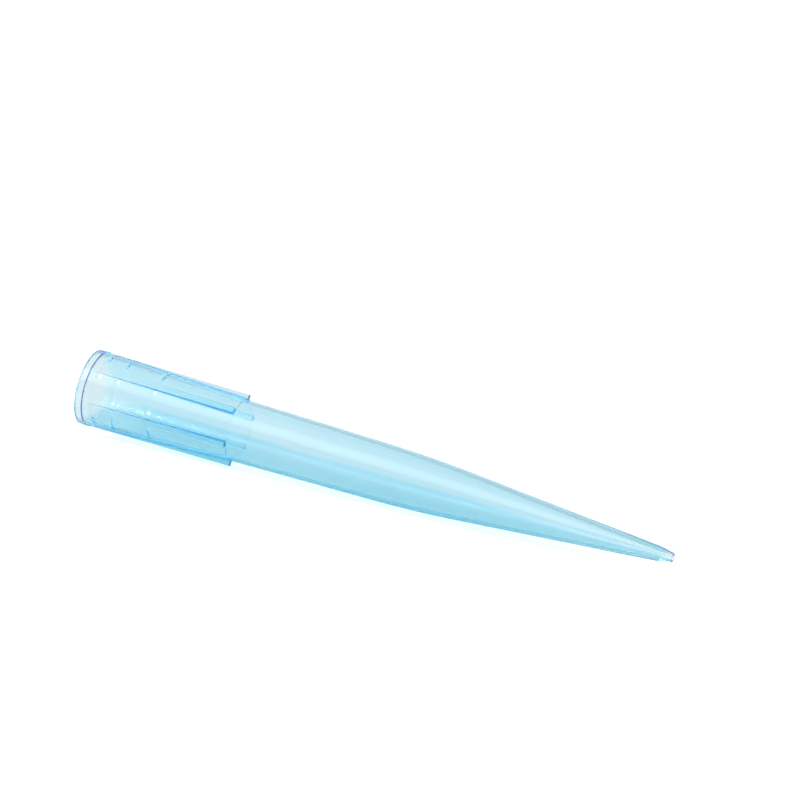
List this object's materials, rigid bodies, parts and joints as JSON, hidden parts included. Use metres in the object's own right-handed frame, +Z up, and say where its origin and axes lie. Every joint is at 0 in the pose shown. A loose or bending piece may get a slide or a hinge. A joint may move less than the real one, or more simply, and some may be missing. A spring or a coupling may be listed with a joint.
{
  "type": "pipette tip",
  "caption": "Translucent blue pipette tip: ribbed socket head with a beaded mouth, drafted tube and long tapering nozzle, open right through, lying on its side.",
  "frame": {"origin": "on the floor under the middle of the bounding box, with the tip lying on its side as it comes to rest", "axes": "+X from the mouth towards the nozzle, along the floor; +Z up. The tip's own axis dips 1.7 degrees below +X, because it lies on its bead and on the knee of its tube."},
  "size_m": [0.0712, 0.0086, 0.0087],
  "materials": {
    "blue_polypropylene": "translucent light blue polypropylene, smooth from a polished mould, glossy, with a faint haze"
  },
  "bodies": {
    "root": {"tip_body": "blue_polypropylene"}
  },
  "joints": []
}
